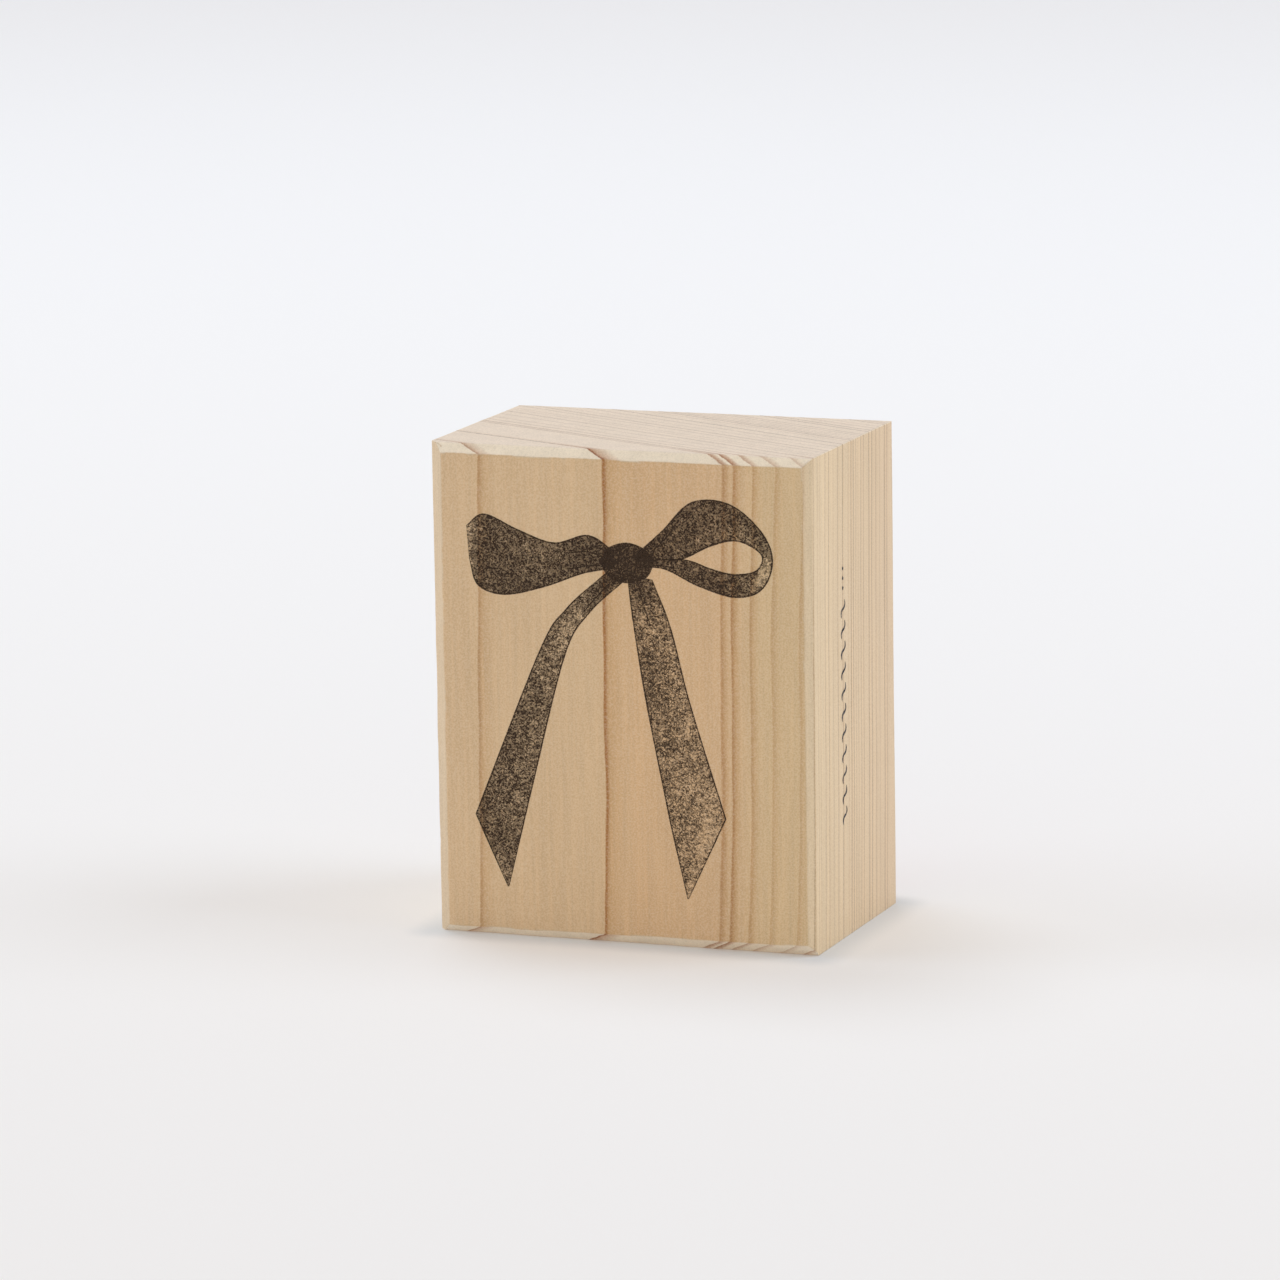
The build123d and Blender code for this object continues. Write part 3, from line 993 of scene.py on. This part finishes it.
foamCushion = makeCushion()
print("foam cushion made:", len(foamCushion.data.polygons), "faces")

rubber = {
    "corner": 1.2,
    "floor": 1.2,  # mm, the sheet under the relief
    "relief": 0.9,
    "cell": 0.125,  # mm, the relief's mesh
    "taper": 0.34,  # mm that a wall drops over each cell, so that it stands about 70 degrees steep
    "grains": 2,  # cells across one grain of the stipple
    "softenings": 2,  # times the relief is smoothed, as the mould rounds its edges
    "seed": 7,
    "trimStray": 0.10,
    "colour": "#a8483a",
    "deep": "#8d372c",
    "dust": "#c08a7c",
    "roughness": 0.55,
}


def rubberMaterial():
    # vulcanised natural rubber, pressed in a mould: brick red, satin on the printing face,
    # with pale release powder left in the hollows
    material, tree = newMaterial("pressed red rubber")
    here = addNode(tree, "TexCoord").outputs["Object"]
    point = addNode(tree, "VectorMath", {0: here, 1: inMillimetres}, operation="MULTIPLY")
    mottle = addNode(tree, "TexNoise", {"Vector": point, "Scale": 0.9, "Detail": 4.0, "Roughness": 0.6})
    fine = addNode(tree, "TexNoise", {"Vector": point, "Scale": 8.0, "Detail": 2.0})
    colour = addNode(tree, "Mix", {
        0: mottle, 6: linearColour(rubber["colour"]), 7: linearColour(rubber["deep"]),
    }, data_type="RGBA")
    height = addNode(tree, "Attribute", attribute_name="reliefHeight").outputs["Fac"]
    hollow = addNode(tree, "MapRange", {"Value": height, "From Min": 0.75, "From Max": 0.0})
    powder = addNode(tree, "MapRange", {"Value": fine, "From Min": 0.35, "From Max": 0.65, "To Max": 0.5})
    powder = addNode(tree, "Math", {0: powder, 1: hollow}, operation="MULTIPLY")
    colour = addNode(tree, "Mix", {
        0: powder, 6: colour.outputs[2], 7: linearColour(rubber["dust"]),
    }, data_type="RGBA")
    bump = addNode(tree, "Bump", {"Strength": 0.3, "Distance": 0.00002, "Height": fine})
    rough = addNode(tree, "MapRange", {
        "Value": hollow, "To Min": rubber["roughness"] - 0.08, "To Max": rubber["roughness"] + 0.22,
    })
    shader = addNode(tree, "BsdfPrincipled", {
        "Base Color": colour.outputs[2], "Roughness": rough, "Normal": bump, "IOR": 1.52,
    })
    addNode(tree, "OutputMaterial", {"Surface": shader})
    return material


def shifted(grid, dz, dx):
    return np.roll(np.roll(grid, dz, axis=0), dx, axis=1)


def makeRelief():
    # the artwork as heights on a fine grid: inked grains stand at full height and walls taper down from them
    points, faces, inks = stripMesh(
        artStrips(widen=1.8), lambda flat, h: (flat.x, flat.y, h), Vector((0, 0, 1)), 0, 0.1
    )
    tree = BVHTree.FromPolygons(points, faces)
    cell, margin = rubber["cell"], 0.7
    xs = np.arange(-artHalf[0] - margin, artHalf[0] + margin, cell) + artMiddle[0]
    zs = np.arange(-artHalf[1] - margin, artHalf[1] + margin, cell) + artMiddle[1]
    tone = np.zeros((len(zs), len(xs)))
    for i, z in enumerate(zs):
        for j, x in enumerate(xs):
            hit = tree.ray_cast((x, z, 9), (0, 0, -1))[2]
            if hit is not None:
                tone[i, j] = sum(inks[k] for k in faces[hit]) / 4
    draw = np.random.default_rng(rubber["seed"])
    span = rubber["grains"]
    coarse = draw.random((len(zs) // span + 2, len(xs) // span + 2))
    grain = np.kron(coarse, np.ones((span, span)))[:len(zs), :len(xs)]
    grain = grain + 0.5 * shifted(grain, 1, 0) + 0.5 * shifted(grain, 0, 1) + 0.3 * draw.random(grain.shape)
    rank = np.empty(grain.size)
    rank[np.argsort(grain, axis=None)] = np.arange(grain.size) / grain.size
    height = np.where(tone > rank.reshape(grain.shape) * 0.96, rubber["relief"], 0.0)
    for _ in range(3):
        lower = height - rubber["taper"]
        for dz, dx in ((1, 0), (-1, 0), (0, 1), (0, -1)):
            height = np.maximum(height, shifted(lower, dz, dx))
        height = np.maximum(height, 0)
    for _ in range(rubber["softenings"]):
        near = sum(shifted(height, dz, dx) for dz, dx in ((1, 0), (-1, 0), (0, 1), (0, -1)))
        height = 0.5 * height + 0.125 * near
    return xs, zs, np.where(height < 0.02, 0, height)


def makeRubberDie():
    low, high = (Vector(v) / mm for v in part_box("rubber_die"))
    root = low.y + rubber["floor"]
    loop = sheetLoop(high.x - low.x, high.z - low.z, rubber["corner"], 0.35)
    levels = [(low.y, 0.0), (low.y + 0.3, 0.02), (low.y + 0.7, 0.05), (root - 0.06, 0.08), (root, 0.16)]
    points, faces = sheetMesh(loop, levels, rubber["trimStray"], 2.2)
    heights = [0.0] * len(points)
    xs, zs, height = makeRelief()
    numbered = {}
    for i in range(len(zs) - 1):
        for j in range(len(xs) - 1):
            if height[i:i + 2, j:j + 2].max() <= 0:
                continue
            loop = []
            for di, dj in ((0, 0), (1, 0), (1, 1), (0, 1)):
                key = (i + di, j + dj)
                if key not in numbered:
                    numbered[key] = len(points)
                    rise = height[key]
                    points.append((xs[key[1]], root + rise - (0.01 if rise == 0 else 0), zs[key[0]]))
                    heights.append(rise / rubber["relief"])
                loop.append(numbered[key])
            faces.append(tuple(loop))
    return finishSheet("rubberDie", points, faces, rubberMaterial(), "rubber_die", "die",
                       {"reliefHeight": heights})


rubberDie = makeRubberDie()
print("rubber die made:", len(rubberDie.data.polygons), "faces")
